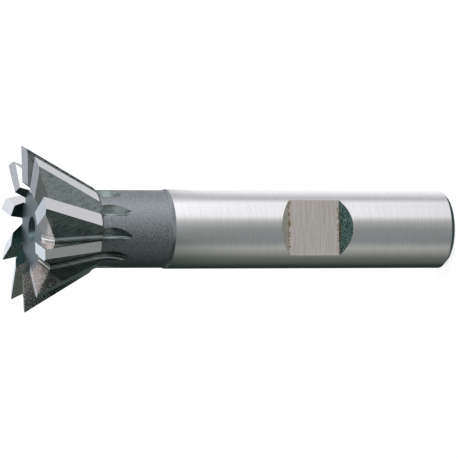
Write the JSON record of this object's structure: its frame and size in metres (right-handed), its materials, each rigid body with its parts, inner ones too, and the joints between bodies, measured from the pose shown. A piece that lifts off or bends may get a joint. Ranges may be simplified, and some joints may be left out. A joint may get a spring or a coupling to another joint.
{
  "type": "angle milling cutter",
  "caption": "Right-hand dovetail form angle milling cutter in one piece: a toothed cone that widens to a toothed end face, on a plain cylindrical shank with a side-lock flat.",
  "frame": {"origin": "centre of the flat end of the shank, on the tool axis", "axes": "+Z along the tool axis from the shank end to the toothed face, -Y out of the clamping flat; seen from the toothed face the cutter turns anticlockwise"},
  "size_m": [0.025, 0.024, 0.067],
  "materials": {
    "tool_steel": "satin ground, with dark grey unground neck and flutes"
  },
  "bodies": {
    "root": {"cutter": "tool_steel"}
  },
  "joints": []
}
